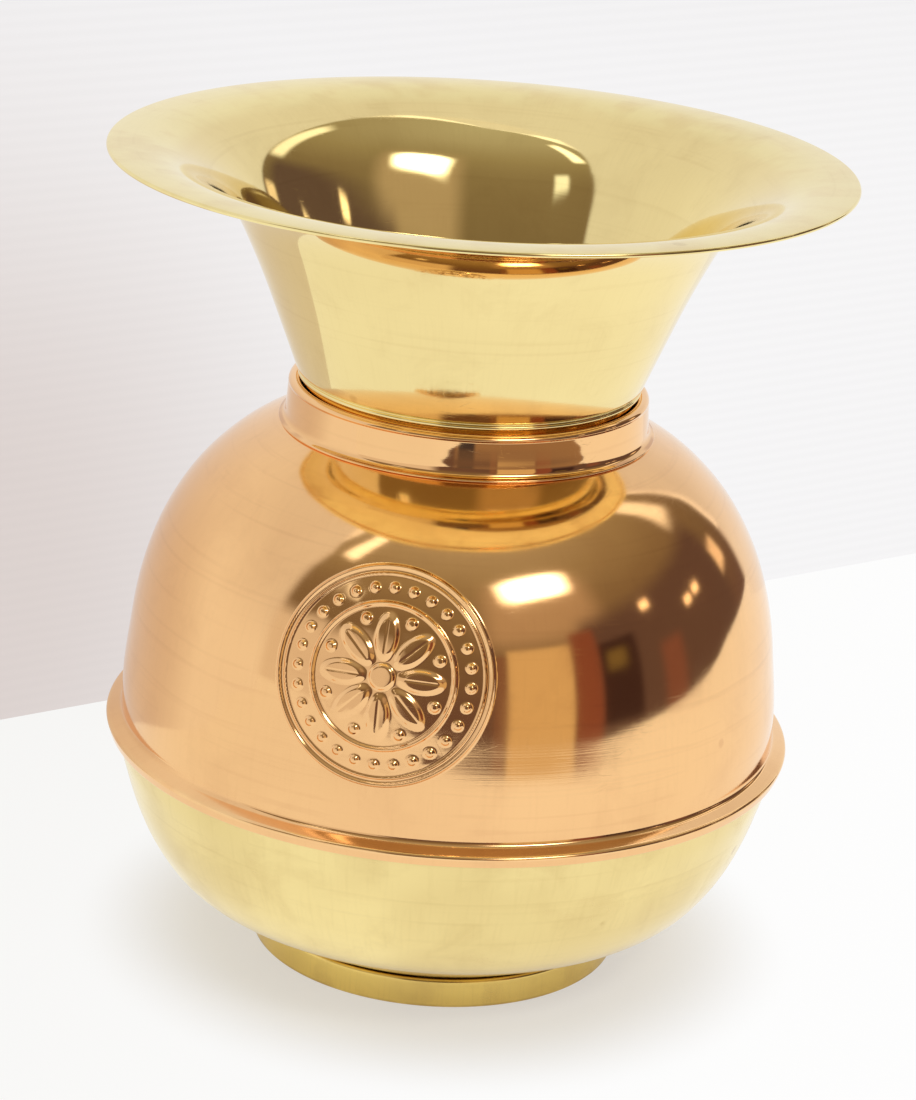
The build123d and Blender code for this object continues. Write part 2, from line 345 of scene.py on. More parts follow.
def arc_line(centre, radius, start, end, cuts):
    """Points on an arc, by its angles in degrees."""
    angles = [math.radians(start + (end - start) * k / cuts) for k in range(cuts + 1)]
    return [Vector(centre) + radius * Vector((math.cos(a), math.sin(a))) for a in angles]


def directions(line):
    """Unit direction of a line at each of its points."""
    last = len(line) - 1
    return [(line[min(i + 1, last)] - line[max(i - 1, 0)]).normalized() for i in range(last + 1)]


def trimmed(line, cut):
    """The line with a length cut off its end."""
    line = list(line)
    while (line[-1] - line[-2]).length <= cut:
        cut -= (line[-1] - line[-2]).length
        line.pop()
    line[-1] = line[-1] + (line[-2] - line[-1]).normalized() * cut
    return line


def beside(line, gap):
    """The line moved to its left by a gap."""
    return [p + gap * Vector((-d.y, d.x)) for p, d in zip(line, directions(line))]


def thinned(line, step):
    """The line with fewer points where it runs nearly straight."""
    kept = [line[0]]
    for point, after in zip(line[1:-1], line[2:]):
        run = point - kept[-1]
        is_bend = run.length > SHORT_RUN and run.angle(after - point, 0) > math.radians(5)
        if run.length >= step or is_bend:
            kept.append(point)
    return kept + [line[-1]]


def end_cap(line, thickness):
    """Half round end of a sheet whose outer face is the line."""
    way = (line[-1] - line[-2]).normalized()
    side = Vector((-way.y, way.x)) * thickness / 2
    centre = line[-1] + side
    return [
        centre - math.cos(math.radians(a)) * side + math.sin(math.radians(a)) * way * thickness / 2
        for a in (30, 60, 90, 120, 150)
    ]


def sheet_outline(line, thickness, inner_step, from_axis=False):
    """Outline of a sheet whose outer face is the line, with rounded ends but none on the axis."""
    line = trimmed(line, thickness / 2)
    if not from_axis:
        line = trimmed(line[::-1], thickness / 2)[::-1]
    inner = thinned(beside(line, thickness), inner_step)[::-1]
    outline = line + end_cap(line, thickness) + inner
    if not from_axis:
        outline += end_cap(inner, thickness)
    return outline


def turned(outline, columns, is_closed=True):
    """A mesh of the outline turned round the axis, or round from the axis where it is open."""
    bm = bmesh.new()
    angles = [FRONT + k * math.tau / columns for k in range(columns)]
    turns = [(math.cos(a), math.sin(a)) for a in angles]
    rings = []
    for radius, height in outline:
        if radius < ON_AXIS:
            rings.append([bm.verts.new((0, 0, height * MM))] * columns)
        else:
            places = [(radius * x * MM, radius * y * MM, height * MM) for x, y in turns]
            rings.append([bm.verts.new(place) for place in places])
    for lower, height_shade in zip(rings, rings[1:] + rings[:1] if is_closed else rings[1:]):
        for k in range(columns):
            n = (k + 1) % columns
            # A face at the axis has three corners, so its second point there is dropped
            bm.faces.new(dict.fromkeys((lower[k], lower[n], height_shade[n], height_shade[k])))
    bmesh.ops.recalc_face_normals(bm, faces=bm.faces)
    return bm


def turned_sheet(line, sizes, inner_step):
    """A turned sheet whose outer face is the line."""
    return turned(sheet_outline(line, sizes.sheet / MM, inner_step), sizes.columns)


def add_piece(bm, name, node, body, material_name):
    """The mesh as a piece that stands for a node of the frame and moves with its body."""
    for face in bm.faces:
        face.smooth = True
    mesh = bpy.data.meshes.new(name)
    bm.to_mesh(mesh)
    bm.free()
    mesh.materials.append(bpy.data.materials[material_name])
    piece = bpy.data.objects.new(name, mesh)
    bpy.context.scene.collection.objects.link(piece)
    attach(piece, body)
    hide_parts(node)
    return piece


def rise(inside, slope):
    """How far a pressed figure has risen at a distance inside its edge, from 0 to 1."""
    t = min(max(inside / slope + 0.35, 0), 1)
    return t * t * (3 - 2 * t)


def dome(out, radius):
    """Height of a round bead at a distance from its middle, with a soft foot."""
    bulge = math.sqrt(max(0, 1 - (out / radius) ** 2))
    return rise(radius - out, 1.3) * (0.82 + 0.18 * bulge)


def by_spoke(out, angle, count):
    """A place in polar form, measured along and across the nearest of a number of spokes."""
    sector = math.tau / count
    off = (angle + sector / 2) % sector - sector / 2
    return out * math.cos(off), out * math.sin(off)


def relief_at(across, up, sizes):
    """Height of the pressed figures at a place on the medallion, in shares of the full relief."""
    scale = sizes.medallion / MM / DRAWN_RADIUS
    across, up = across / scale, up / scale
    out, angle = math.hypot(across, up), math.atan2(up, across)
    if out > FIGURES_END:
        return 0.0
    heights = [share * rise(half - abs(out - ring), slope) for ring, half, slope, share in RIDGES]
    along, side = by_spoke(out, angle, sizes.beads)
    heights.append(dome(math.hypot(along - BEAD_RING, side), BEAD_SIZE))
    along, side = by_spoke(out, angle, sizes.petals)
    along -= PETAL_RING
    inside = 1 - math.hypot(along / PETAL_HALF_LENGTH, side / PETAL_HALF_WIDTH)
    vein = rise(VEIN_HALF_WIDTH - abs(side), 0.5) * rise(VEIN_HALF_LENGTH - abs(along), 1.5)
    heights.append(rise(inside * PETAL_HALF_WIDTH, 1.6) * (1 - VEIN_DEPTH * vein))
    along, side = by_spoke(out, angle + math.pi / sizes.petals, sizes.petals)
    heights.append(dome(math.hypot(along - SEED_RING, side), SEED_SIZE))
    heights.append(dome(out, BOSS_SIZE))
    return max(heights)


class PotWall:
    """The pot's outer wall as a fine line, and the pressing of the medallion out of it."""

    def __init__(self, sizes):
        self.sizes = sizes
        self.sheet = sizes.sheet / MM
        self.line = smooth_line(POT_WALL, 0.25)
        self.outward = [Vector((d.y, -d.x)) for d in directions(self.line)]
        self.heights = [p.y for p in self.line]

    def press(self, bm):
        """Cuts the faces at the medallion finer, follows the wall again and presses the figures."""
        for is_inner, cuts in ((False, OUTER_CUTS), (True, INNER_CUTS)):
            depth = self.sheet if is_inner else 0.0
            near = set(self.near_medallion(bm, is_inner))
            edges = list({e for v in near for e in v.link_edges if e.other_vert(v) in near})
            bmesh.ops.subdivide_edges(bm, edges=edges, cuts=cuts, use_grid_fill=True)
            for vert in self.near_medallion(bm, is_inner):
                self.move(vert, depth)

    def near_medallion(self, bm, is_inner):
        """The vertices of the sheet's outer or inner face that are near the medallion."""
        for vert in bm.verts:
            if (vert.co - MEDALLION_CENTRE).length < self.sizes.medallion + FINE_MARGIN * MM:
                wall = self.line[bisect.bisect(self.heights, vert.co.z / MM)].x
                if (math.hypot(vert.co.x, vert.co.y) / MM < wall - self.sheet / 2) == is_inner:
                    yield vert

    def move(self, vert, depth):
        """Sets a vertex on the wall at a depth in the sheet, raised by the figure at its place."""
        height, angle = vert.co.z / MM, math.atan2(vert.co.y, vert.co.x)
        k = bisect.bisect(self.heights, height)
        share = (height - self.heights[k - 1]) / (self.heights[k] - self.heights[k - 1])
        way = self.outward[k - 1].lerp(self.outward[k], share).normalized()
        radius = self.line[k - 1].lerp(self.line[k], share).x - depth / way.x
        x, y = radius * math.cos(angle), radius * math.sin(angle)
        up = math.sin(MEDALLION_LEAN) * (y + MEDALLION_RADIUS)
        up += math.cos(MEDALLION_LEAN) * (height - MEDALLION_HEIGHT)
        uneven = FIELD_DEPTH * noise.noise(Vector((x, up, 0)) / FIELD_PATCH)
        uneven *= rise(FIELD_RADIUS - math.hypot(x, up), 2.0)
        lift = min(relief_at(x, up, self.sizes) + uneven, 1.0) * self.sizes.relief / MM
        radius += way.x * lift
        turned_to = radius * math.cos(angle), radius * math.sin(angle)
        vert.co = Vector((*turned_to, height + way.y * lift)) * MM

    def normals(self, bm):
        """True normals of the outer face round the medallion; zero elsewhere, for the mesh's."""
        bm.verts.ensure_lookup_table()
        return [self.normal(vert.co) for vert in bm.verts]

    def normal(self, place):
        """The wall's outward normal at a vertex of its outer face, or zero elsewhere."""
        k = bisect.bisect(self.heights, place.z / MM)
        is_wall = 0 < k < len(self.line)
        if not is_wall or math.hypot(place.x, place.y) / MM <= self.line[k].x - self.sheet / 2:
            return Vector((0, 0, 0))
        if (place - MEDALLION_CENTRE).length <= self.sizes.medallion + TRUE_MARGIN * MM:
            return Vector((0, 0, 0))
        angle = math.atan2(place.y, place.x)
        way = self.outward[k - 1].lerp(self.outward[k], 0.5).normalized()
        return Vector((way.x * math.cos(angle), way.x * math.sin(angle), way.y))


def rgba(colour):
    """An opaque colour with its alpha."""
    return (*colour, 1)


class Wiring:
    """Adds nodes to a tree and joins them."""

    def __init__(self, tree):
        self.tree = tree

    def add(self, kind, inputs=None, **settings):
        """A node, with its settings, and with a value or another node's socket at each input."""
        node = self.tree.nodes.new("ShaderNode" + kind)
        for key, value in settings.items():
            setattr(node, key, value)
        for key, value in (inputs or {}).items():
            self.feed(node.inputs[key], value)
        return node

    def feed(self, socket, value):
        if isinstance(value, bpy.types.NodeSocket):
            self.tree.links.new(value, socket)
        else:
            socket.default_value = value

    def group(self, tree_name, inputs=None, **settings):
        return self.add("Group", inputs, node_tree=bpy.data.node_groups[tree_name], **settings)

    def math(self, operation, *values):
        return self.add("Math", dict(enumerate(values)), operation=operation).outputs[0]

    def times(self, first, second):
        return self.math("MULTIPLY", first, second)

    def away(self, value, middle):
        """How far a value is from a middle one."""
        return self.math("ABSOLUTE", self.math("SUBTRACT", value, middle))

    def spread(self, value, low, high, start=0.0, end=1.0, curve="SMOOTHSTEP"):
        """A value between low and high, brought to one between start and end."""
        limits = {"From Min": low, "From Max": high, "To Min": start, "To Max": end}
        return self.add("MapRange", {"Value": value, **limits}, interpolation_type=curve).outputs[0]

    def combine(self, *parts):
        return self.add("CombineXYZ", dict(enumerate(parts))).outputs[0]

    def parts(self, vector):
        return self.add("SeparateXYZ", {0: vector}).outputs

    def measure(self, operation, first, second):
        """A number from two vectors, such as their distance."""
        node = self.add("VectorMath", {0: first, 1: second}, operation=operation)
        return node.outputs["Value"]

    def noise(self, place, scale, detail, dimensions="3D", **others):
        inputs = {"Vector": place, "Scale": scale, "Detail": detail, **others}
        return self.add("TexNoise", inputs, noise_dimensions=dimensions).outputs[0]

    def mix(self, share, first, second):
        """A colour between two."""
        return self.add("Mix", {0: share, 6: first, 7: second}, data_type="RGBA").outputs[2]

    def blend(self, share, first, second):
        """A shader between two."""
        return self.add("MixShader", {0: share, 1: first, 2: second}).outputs[0]

    def bump(self, socket, height, distance):
        node = self.add("Bump", {"Height": height, "Strength": 1.0, "Distance": distance})
        self.feed(socket, node.outputs["Normal"])

    def ray_kinds(self):
        """Masks of what the camera sees straight, and of what it sees mirrored or through glass."""
        path = self.add("LightPath").outputs
        mirrored = self.math("MAXIMUM", path["Is Glossy Ray"], path["Is Transmission Ray"])
        return path["Is Camera Ray"], mirrored

    def place_in_millimetres(self):
        """The point on the piece in millimetres, its parts, and its distance from the axis."""
        place = self.add("TexCoord").outputs["Object"]
        scaled = self.add("VectorMath", {0: place, 3: 1 / MM}, operation="SCALE").outputs[0]
        parts = self.parts(scaled)
        squares = [self.times(part, part) for part in parts[:2]]
        return scaled, parts, self.math("SQRT", self.math("ADD", *squares))


def new_group(name, inputs, outputs):
    """An empty node group of number sockets: its wiring, its given values and what it gives out."""
    group = bpy.data.node_groups.new(name, "ShaderNodeTree")
    kind = "NodeSocketFloat"
    for socket_name, default in inputs.items():
        socket = group.interface.new_socket(socket_name, in_out="INPUT", socket_type=kind)
        socket.default_value = default
    for socket_name in outputs:
        group.interface.new_socket(socket_name, in_out="OUTPUT", socket_type=kind)
    given, out = group.nodes.new("NodeGroupInput"), group.nodes.new("NodeGroupOutput")
    return Wiring(group), given.outputs, out.inputs


def build_turning_marks():
    """Fine rings left by spinning and polishing, and a broader change of tone with them."""
    wiring, given, out = new_group("turning_marks", {"Spacing": 0.5}, ("Height", "Tone"))
    scaled, parts, radius = wiring.place_in_millimetres()
    drift = wiring.times(wiring.noise(scaled, 0.02, 1.0), 3.0)
    for name, spacing, detail in (("Height", 1.0, 3.0), ("Tone", 5.0, 1.0)):
        size = wiring.times(given["Spacing"], spacing)
        rings = [wiring.math("DIVIDE", part, size) for part in (radius, parts[2])]
        across = wiring.combine(*rings, drift)
        wiring.feed(out[name], wiring.noise(across, 1.0, detail, Roughness=0.6))


def build_handling_marks():
    """Smudges, hairline scratches, specks, streaks and clouds of tarnish, from use."""
    wiring, given, out = new_group(
        "handling_marks",
        {"Smudge Size": 20.0, "Scratch Spacing": 0.5, "Flare": 1.0},
        ("Smudge", "Scratch", "Speck", "Streak", "Cloud"),
    )
    scaled, parts, radius = wiring.place_in_millimetres()
    size = wiring.math("DIVIDE", 1.0, given["Smudge Size"])
    smudge = wiring.noise(scaled, size, 4.0, Roughness=0.62, Distortion=0.6)
    wiring.feed(out["Smudge"], wiring.spread(smudge, 0.45, 0.75))

    # The sheet unrolled flat, for what runs over it in lines
    turn = wiring.math("ARCTAN2", parts[0], wiring.times(parts[1], -1.0))
    round_it = wiring.times(turn, UNROLLED_RADIUS)
    up_it = wiring.math("MULTIPLY_ADD", radius, given["Flare"], parts[2])
    unrolled = wiring.combine(round_it, up_it)
    fine = wiring.math("DIVIDE", 1.0, given["Scratch Spacing"])
    hairs = 0.0
    for lie in SCRATCH_LIES:
        turning = {"Vector": unrolled, "Angle": lie}
        laid = wiring.add("VectorRotate", turning, rotation_type="Z_AXIS").outputs[0]
        drawing = {0: laid, 1: SCRATCH_DRAW}
        drawn = wiring.add("VectorMath", drawing, operation="MULTIPLY").outputs[0]
        hair = wiring.spread(wiring.noise(drawn, fine, 0.0, "2D"), 0.83, 0.88)
        hairs = wiring.math("MAXIMUM", hairs, hair)
    patches = wiring.spread(wiring.noise(scaled, 0.05, 1.0), 0.42, 0.62)
    wiring.feed(out["Scratch"], wiring.times(hairs, patches))

    cell = wiring.add("TexVoronoi", {"Vector": scaled, "Scale": 0.04}).outputs
    chosen = wiring.math("GREATER_THAN", wiring.parts(cell["Color"])[0], 0.55)
    ragged = wiring.math("SUBTRACT", cell["Distance"], 0.08)
    ragged = wiring.math("MULTIPLY_ADD", smudge, 0.16, ragged)
    wiring.feed(out["Speck"], wiring.times(chosen, wiring.spread(ragged, 0.09, 0.05)))

    drawn_down = wiring.combine(wiring.times(round_it, 0.9), wiring.times(up_it, 0.045))
    streak = wiring.noise(drawn_down, 1.0, 2.0, "2D")
    wiring.feed(out["Streak"], wiring.spread(streak, 0.5, 0.75))
    cloud = wiring.noise(scaled, 0.016, 2.0)
    wiring.feed(out["Cloud"], wiring.spread(cloud, 0.42, 0.66))


def build_height_band():
    """A soft band at one height, in patches: it carries painted highlights, painted shade and wear
    at edges and creases, and marks where the sheet is brushed.
    """
    wiring, given, out = new_group("height_band", {"Height": 0.0, "Half Width": 1.0}, ("Mask",))
    scaled, parts, _ = wiring.place_in_millimetres()
    away = wiring.away(parts[2], given["Height"])
    band = wiring.spread(wiring.math("DIVIDE", away, given["Half Width"]), 1.0, 0.2)
    patches = wiring.spread(wiring.noise(scaled, 0.08, 2.0), 0.3, 0.6)
    wiring.feed(out["Mask"], wiring.times(band, patches))


def new_metal(name, colour):
    """A material of bare metal: its wiring and its shader's sockets."""
    material = bpy.data.materials.new(name)
    material.use_nodes = True
    material.diffuse_color = rgba(colour)
    shader = material.node_tree.nodes["Principled BSDF"].inputs
    shader["Metallic"].default_value = 1.0
    return Wiring(material.node_tree), shader


def build_metal(
    name, colour, tarnish, roughness, spacing, ring_depth,
    smudge, scratch, flare, stains, wear_and_light_bands, brushed=(),
):
    """A polished sheet metal with its turning rings, film, scratches, stains, and bands of wear,
    painted highlight and painted shade at edges.
    """
    wiring, shader = new_metal(name, colour)
    rings = wiring.group("turning_marks", {"Spacing": spacing}).outputs
    marks = wiring.group("handling_marks", {"Flare": flare}).outputs
    dull = rgba(tarnish)
    shade = wiring.mix(wiring.times(marks["Smudge"], smudge), rgba(colour), dull)
    tone = wiring.spread(rings["Tone"], 0.55, 0.8)
    shade = wiring.mix(wiring.times(tone, 0.10), shade, dull)
    for mark, share in zip(("Speck", "Streak", "Cloud"), stains):
        shade = wiring.mix(wiring.times(marks[mark], share), shade, dull)
    # Bands: bright ones are painted highlight, partly wear; dark ones are painted shade in the
    # tarnish's colour.
    for height, half_width, is_bright in wear_and_light_bands:
        band = wiring.group("height_band", {"Height": height, "Half Width": half_width})
        light_or_shade = rgba(min(1.0, c * 1.1 + 0.03) for c in colour) if is_bright else dull
        shade = wiring.mix(wiring.times(band.outputs["Mask"], 0.6), shade, light_or_shade)
    wiring.feed(shader["Base Color"], shade)

    polish = wiring.math("MULTIPLY_ADD", rings["Height"], 0.6 * roughness, 0.7 * roughness)
    polish = wiring.math("MULTIPLY_ADD", marks["Smudge"], 0.5 * roughness, polish)
    polish = wiring.math("MULTIPLY_ADD", marks["Scratch"], 0.06, polish)
    wiring.feed(shader["Roughness"], polish)

    for height, half_width, extra in brushed:
        zone = wiring.group("height_band", {"Height": height, "Half Width": half_width})
        ring_depth = wiring.math("MULTIPLY_ADD", zone.outputs["Mask"], extra, ring_depth)
    relief = wiring.times(rings["Height"], ring_depth)
    relief = wiring.math("MULTIPLY_ADD", marks["Scratch"], -scratch, relief)
    wiring.bump(shader["Normal"], relief, MM)


def build_solder(name, colour):
    """Dull, lumpy soft solder."""
    wiring, shader = new_metal(name, colour)
    marks = wiring.group("handling_marks", {"Smudge Size": 4.0}).outputs
    lumps = wiring.noise(wiring.place_in_millimetres()[0], 0.5, 4.0)
    shade = wiring.mix(marks["Smudge"], rgba(colour), rgba(c * 0.55 for c in colour))
    wiring.feed(shader["Base Color"], shade)
    wiring.feed(shader["Roughness"], wiring.spread(lumps, 0.3, 0.7, 0.42, 0.62))
    wiring.bump(shader["Normal"], lumps, 0.2 * MM)


def build_soft_panel():
    """A soft-edged panel of the surroundings, by direction."""
    sides = ("Azimuth", "Centre", "Half Width", "Elevation", "Level", "Half Height", "Softness")
    wiring, given, out = new_group("soft_panel", dict.fromkeys(sides, 0.0), ("Mask",))
    turn = wiring.math("SUBTRACT", given["Azimuth"], given["Centre"])
    turn = wiring.math("WRAP", turn, 180.0, -180.0)
    climb = wiring.math("SUBTRACT", given["Elevation"], given["Level"])
    masks = []
    for away, half in ((turn, given["Half Width"]), (climb, given["Half Height"])):
        inside = wiring.math("SUBTRACT", half, wiring.math("ABSOLUTE", away))
        masks.append(wiring.spread(wiring.math("DIVIDE", inside, given["Softness"]), -0.5, 0.5))
    wiring.feed(out["Mask"], wiring.times(*masks))


def build_world():
    """Pale for the camera; for the metal, a white wall on one side and a dim warm room."""
    world = bpy.data.worlds.new("surroundings")
    bpy.context.scene.world = world
    world.use_nodes = True
    world.node_tree.nodes.clear()
    wiring = Wiring(world.node_tree)
    parts = wiring.parts(wiring.add("TexCoord").outputs["Generated"])
    turn = wiring.math("DEGREES", wiring.math("ARCTAN2", parts[1], parts[0]))
    azimuth = wiring.math("ADD", turn, 90 - math.degrees(CAMERA_AZIMUTH))
    elevation = wiring.math("DEGREES", wiring.math("ARCSINE", parts[2]))

    ramp = wiring.add("ValToRGB", {0: wiring.spread(elevation, -90, 90, curve="LINEAR")})
    elements = ramp.color_ramp.elements
    while len(elements) < len(ROOM_SHADES):
        elements.new(1.0)
    for element, (level, tint) in zip(elements, ROOM_SHADES):
        element.position, element.color = (level + 90) / 180, rgba(tint)

    colour = ramp.outputs["Color"]
    for name, centre, half_width, level, half_height, softness, tint, brightness in PANELS:
        place = {
            "Azimuth": azimuth, "Centre": centre, "Half Width": half_width,
            "Elevation": elevation, "Level": level, "Half Height": half_height,
            "Softness": softness,
        }
        panel = wiring.group("soft_panel", place, name=name, label=name)
        tint = rgba(c * brightness for c in tint)
        colour = wiring.mix(panel.outputs["Mask"], colour, tint)
    around = wiring.add("Background", {"Color": colour, "Strength": 1.0}).outputs[0]
    behind = wiring.add("Background", {"Color": rgba(BACKDROP), "Strength": 1.0}).outputs[0]
    is_camera = wiring.add("LightPath").outputs["Is Camera Ray"]
    wiring.add("OutputWorld", {"Surface": wiring.blend(is_camera, around, behind)})


def direction(azimuth, elevation=0.0):
    """Unit vector of an azimuth from the camera and an elevation, in degrees."""
    a = math.radians(azimuth - 90) + CAMERA_AZIMUTH
    e = math.radians(elevation)
    return Vector((math.cos(e) * math.cos(a), math.cos(e) * math.sin(a), math.sin(e)))


class SPITTOON_OT_stage(bpy.types.Operator):
    """Make the floor, the surroundings, the lamps and the camera"""

    bl_idname = "spittoon.stage"
    bl_label = "Stage"

    def execute(self, context):
        build_soft_panel()
        build_world()
        for lamp in LAMPS:
            self.add_lamp(context, *lamp)
        self.add_floor(context)
        self.add_wall(context)
        self.add_camera(context)
        context.scene.view_settings.view_transform = "Standard"
        return {"FINISHED"}

    def add_lamp(self, context, name, azimuth, half_width, elevation, half_height, radiance, tint):
        """A lamp that fades towards its edges, as a diffuser does."""
        lamp = bpy.data.lights.new(name, "AREA")
        lamp.shape = "RECTANGLE"
        wide, high = (math.tan(math.radians(a)) for a in (half_width, half_height))
        lamp.size = 2 * LAMP_DISTANCE * wide * math.cos(math.radians(elevation))
        lamp.size_y = 2 * LAMP_DISTANCE * high
        lamp.energy = radiance * math.pi * lamp.size * lamp.size_y
        lamp.color = tint
        lamp.use_nodes = True
        wiring = Wiring(lamp.node_tree)
        across = wiring.parts(wiring.add("NewGeometry").outputs["Parametric"])
        fades = [wiring.spread(wiring.away(part, 0.5), 0.5, 0.12) for part in across[:2]]
        strength = lamp.node_tree.nodes["Emission"].inputs["Strength"]
        wiring.feed(strength, wiring.times(*fades))
        holder = bpy.data.objects.new(name, lamp)
        way = direction(azimuth, elevation)
        holder.location = LAMP_TARGET + way * LAMP_DISTANCE
        holder.rotation_euler = way.to_track_quat("Z", "Y").to_euler()
        context.scene.collection.objects.link(holder)

    def add_floor(self, context):
        """A round pale table top that keeps the shadow, with painted shadow near the foot and
        painted shade across it, and that ends at its edge in the metal.
        """
        bm = bmesh.new()
        bmesh.ops.create_circle(bm, cap_ends=True, segments=160, radius=FLOOR_RADIUS)
        wiring, shader = self.add_stage(context, "floor", bm, "pale_floor")
        scaled, _, radius = wiring.place_in_millimetres()
        pale = context.scene.spittoon_colours.floor
        grain = wiring.spread(wiring.noise(scaled, 0.01, 2.0), 0.3, 0.7)
        grained = wiring.mix(grain, rgba(pale), rgba(c * 0.985 for c in pale))
        wiring.feed(shader["Base Color"], grained)

        is_camera, mirrored = wiring.ray_kinds()
        # Painted shadow: the glow is turned down near the foot, for the camera and in the metal.
        seen = wiring.times(is_camera, wiring.spread(radius, *FLOOR_SHADOW))
        reflected = wiring.times(mirrored, wiring.spread(radius, *MIRRORED_SHADOW))
        share = wiring.math("MAXIMUM", seen, reflected)
        # Painted shade: the floor darker towards one side.
        across = wiring.measure("DOT_PRODUCT", scaled, direction(FLOOR_FADE_AZIMUTH))
        shade = wiring.mix(wiring.spread(across, *FLOOR_FADE), rgba(FLOOR_DIM), rgba(FLOOR_BRIGHT))
        reach = wiring.measure("DOT_PRODUCT", scaled, direction(EDGE_AZIMUTH))
        edge = EDGE_DISTANCE / MM
        ended = wiring.spread(reach, edge - EDGE_FADE, edge + EDGE_FADE)
        self.show(wiring, share, shade, wiring.times(mirrored, ended))

    def add_wall(self, context):
        """The pale panel behind the spittoon, seen only from its front; its ribs, its darker top
        and the spittoon's shadow on it are painted shade.
        """
        facing = direction(WALL_AZIMUTH)
        along, up = Vector((-facing.y, facing.x, 0)), Vector((0, 0, 1))
        foot = facing * WALL_DISTANCE
        bm = bmesh.new()
        corners = ((1, 0), (-1, 0), (-1, 1), (1, 1))
        side, top = along * WALL_HALF_LENGTH, up * WALL_HEIGHT
        bm.faces.new([bm.verts.new(foot + side * x + top * z) for x, z in corners])
        wiring, shader = self.add_stage(context, "wall", bm, "pale_wall")
        scaled, parts, _ = wiring.place_in_millimetres()
        pale = context.scene.spittoon_colours.wall
        # Painted shade in the rib grooves, in the matt colour.
        rib = wiring.math("SINE", wiring.times(parts[2], math.tau / RIB_SPACING))
        rib_shading = wiring.spread(rib, -1, 1, 0.98, 1.0)
        wiring.feed(shader["Base Color"], wiring.mix(rib_shading, rgba(c * 0.4 for c in pale), rgba(pale)))

        share = wiring.times(wiring.math("MAXIMUM", *wiring.ray_kinds()), 0.95)
        # Painted shade: the panel darker higher up.
        height_shade = wiring.mix(wiring.spread(parts[2], *WALL_FADE), rgba(WALL_LIT_LOW), rgba(WALL_SHADED_HIGH))
        # Painted shadow of the spittoon on the panel, warm from the copper.
        shadow_middle = (foot + along * CAST_SHADOW_PLACE[0] + up * CAST_SHADOW_PLACE[1]) / MM
        outside_shadow = wiring.spread(wiring.measure("DISTANCE", scaled, shadow_middle), *CAST_SHADOW_FADE)
        shade = wiring.mix(outside_shadow, rgba(CAST_SHADOW_SHADE), height_shade)
        # Painted shade in the rib grooves, in the glow as well.
        shade = wiring.mix(rib_shading, rgba(GROOVE_SHADE), shade)
        run = wiring.math("ABSOLUTE", wiring.measure("DOT_PRODUCT", scaled, along))
        ends = wiring.spread(run, *WALL_END_FADE)
        top = wiring.spread(parts[2], *WALL_TOP_FADE)
        hidden = wiring.math("MAXIMUM", ends, top)
        is_back = wiring.add("NewGeometry").outputs["Backfacing"]
        self.show(wiring, share, shade, wiring.math("MAXIMUM", hidden, is_back))

    def add_stage(self, context, name, bm, material_name):
        """A stage object of a plain matt material: that material's wiring and shader sockets."""
        mesh = bpy.data.meshes.new(name)
        bm.to_mesh(mesh)
        bm.free()
        material = bpy.data.materials.new(material_name)
        material.use_nodes = True
        shader = material.node_tree.nodes["Principled BSDF"].inputs
        shader["Roughness"].default_value = 0.6
        shader["Specular IOR Level"].default_value = 0.1
        mesh.materials.append(material)
        stage = bpy.data.objects.new(name, mesh)
        context.scene.collection.objects.link(stage)
        return Wiring(material.node_tree), shader

    def show(self, wiring, share, shade, hidden):
        """Shows a stage material in a pale shade by a share, and clear where it is hidden."""
        nodes = wiring.tree.nodes
        glow = wiring.add("Emission", {"Color": shade, "Strength": 1.0}).outputs[0]
        matt = nodes["Principled BSDF"].outputs[0]
        clear = wiring.add("BsdfTransparent").outputs[0]
        shown = wiring.blend(hidden, wiring.blend(share, matt, glow), clear)
        wiring.feed(nodes["Material Output"].inputs["Surface"], shown)

    def add_camera(self, context):
        """The photograph's camera: a long lens, looking down, rolled a little."""
        a, p, r = CAMERA_AZIMUTH, CAMERA_PITCH, CAMERA_ROLL
        forward = Vector((-math.sin(a) * math.cos(p), math.cos(a) * math.cos(p), -math.sin(p)))
        level = Vector((math.cos(a), math.sin(a), 0))
        upright = level.cross(forward)
        across = math.cos(r) * level + math.sin(r) * upright
        above = -math.sin(r) * level + math.cos(r) * upright
        data = bpy.data.cameras.new("camera")
        data.lens, data.sensor_width = CAMERA_LENS, 36.0
        data.clip_start, data.clip_end = 0.05, 50.0
        camera = bpy.data.objects.new("camera", data)
        camera.matrix_world = Matrix((across, above, -forward)).transposed().to_4x4()
        out = CAMERA_DISTANCE
        camera.location = (out * math.sin(a), -out * math.cos(a), CAMERA_HEIGHT)
        context.scene.collection.objects.link(camera)
        context.scene.camera = camera


class SPITTOON_OT_finishes(bpy.types.Operator):
    """Make the metals, and give the two solder runs theirs"""

    bl_idname = "spittoon.finishes"
    bl_label = "Metals and Solder"

    def execute(self, context):
        colours = context.scene.spittoon_colours
        build_turning_marks()
        build_handling_marks()
        build_height_band()
        for name, colour, tarnish, marks in METALS:
            build_metal(name, getattr(colours, colour), getattr(colours, tarnish), **marks)
        build_solder("soft_solder", colours.solder)
        for node in ("foot_solder", "collar_solder"):
            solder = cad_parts[node]
            if not solder.material_slots:
                raise RuntimeError(f"{node} has no material slot")
            for slot in solder.material_slots:
                slot.material = bpy.data.materials["soft_solder"]
        return {"FINISHED"}


class SPITTOON_OT_ring_foot(bpy.types.Operator):
    """Make the brass ring foot"""

    bl_idname = "spittoon.ring_foot"
    bl_label = "Ring Foot"

    def execute(self, context):
        line = rounded_line(FOOT, {1: 1.0}, 0.6)
        bm = turned_sheet(line, context.scene.spittoon_sizes, 2.0)
        add_piece(bm, "brass_foot", "foot_ring", "vessel", "shaded_foot_brass")
        return {"FINISHED"}


